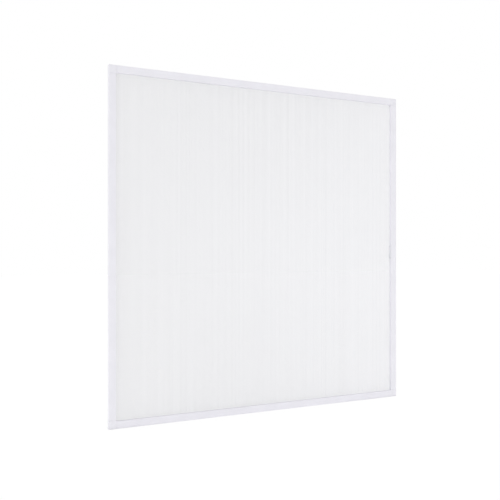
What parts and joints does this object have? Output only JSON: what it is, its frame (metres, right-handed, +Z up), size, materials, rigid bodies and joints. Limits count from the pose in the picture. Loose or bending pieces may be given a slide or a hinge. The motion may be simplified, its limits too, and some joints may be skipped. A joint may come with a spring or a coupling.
{
  "type": "window screen frame",
  "caption": "Square insect screen for a window: slim coated aluminium profiles, moulded corners, fine mesh held in by cords, back seals, hook brackets and a small finger pull.",
  "frame": {"origin": "middle of the screen, in the plane of the profiles' back faces, which lie towards the window", "axes": "+X to the viewer's right as seen from the mesh's open front side, +Y backwards to the window, +Z up"},
  "size_m": [1.2, 0.0291, 1.2],
  "materials": {
    "coated_profile": "smooth white powder coat, satin",
    "corner_plastic": "moulded, satin",
    "mesh_thread": "coated glass fibre thread, woven",
    "spline_cord": "soft, matt, ribbed",
    "pile": "dense woven pile",
    "plated_steel": "zinc plated",
    "pull_plastic": "moulded, fine texture"
  },
  "bodies": {
    "root": {"top_rail": "coated_profile", "bottom_rail": "coated_profile", "left_stile": "coated_profile", "right_stile": "coated_profile", "corner_block_top_left": "corner_plastic", "corner_block_top_right": "corner_plastic", "corner_block_bottom_left": "corner_plastic", "corner_block_bottom_right": "corner_plastic", "insect_mesh": "mesh_thread", "spline_top": "spline_cord", "spline_bottom": "spline_cord", "spline_left": "spline_cord", "spline_right": "spline_cord", "pile_strip_top": "pile", "pile_strip_bottom": "pile", "pile_strip_left": "pile", "pile_strip_right": "pile", "upper_hook_left": "plated_steel", "upper_hook_right": "plated_steel", "lower_hook_left": "plated_steel", "lower_hook_right": "plated_steel", "hook_screws": "plated_steel", "finger_pull": "pull_plastic", "finger_pull_screws": "plated_steel"}
  },
  "joints": []
}
